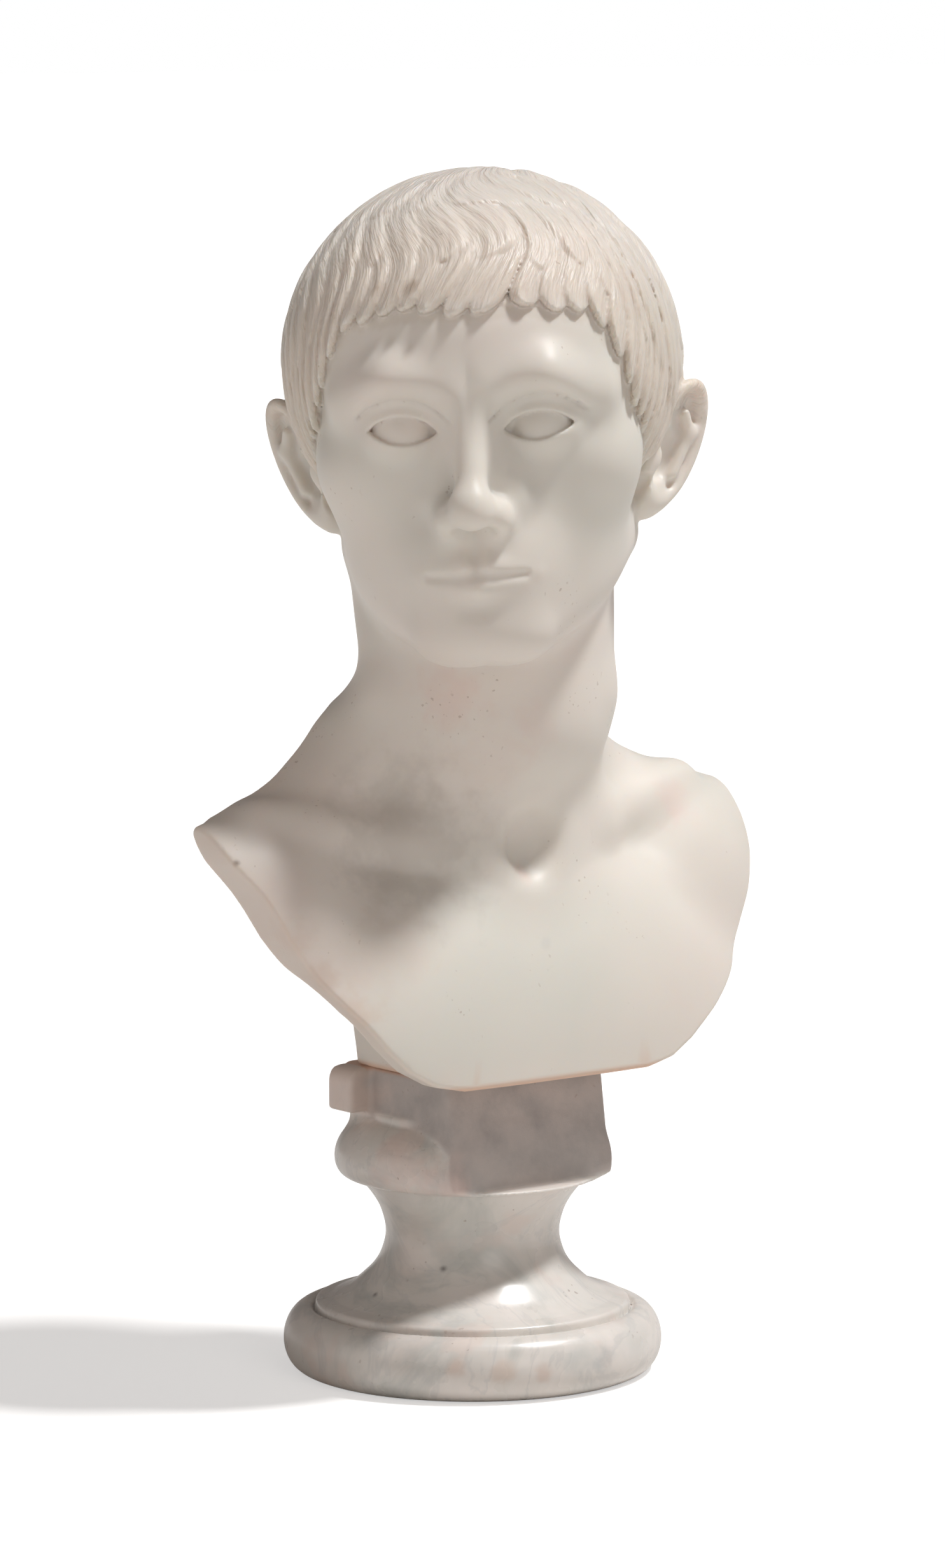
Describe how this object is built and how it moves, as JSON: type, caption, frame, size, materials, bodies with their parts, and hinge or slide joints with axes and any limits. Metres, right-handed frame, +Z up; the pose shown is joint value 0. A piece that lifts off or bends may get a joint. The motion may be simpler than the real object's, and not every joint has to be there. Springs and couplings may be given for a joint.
{
  "type": "portrait bust on a socle",
  "caption": "Portrait bust of a young man with short combed hair, nude chest cut to a shield shape, open back and pillar, on a turned round socle with a block.",
  "frame": {"origin": "centre of the socle's round underside, which stands on the shelf or table", "axes": "+Z up, the chest faces -Y, +X towards the figure's left shoulder"},
  "size_m": [0.2493, 0.1653, 0.461],
  "materials": {
    "bust_marble": "softly polished warm white marble",
    "socle_marble": "polished grey-veined white marble"
  },
  "bodies": {
    "root": {"bust": "bust_marble", "socle": "socle_marble"}
  },
  "joints": []
}
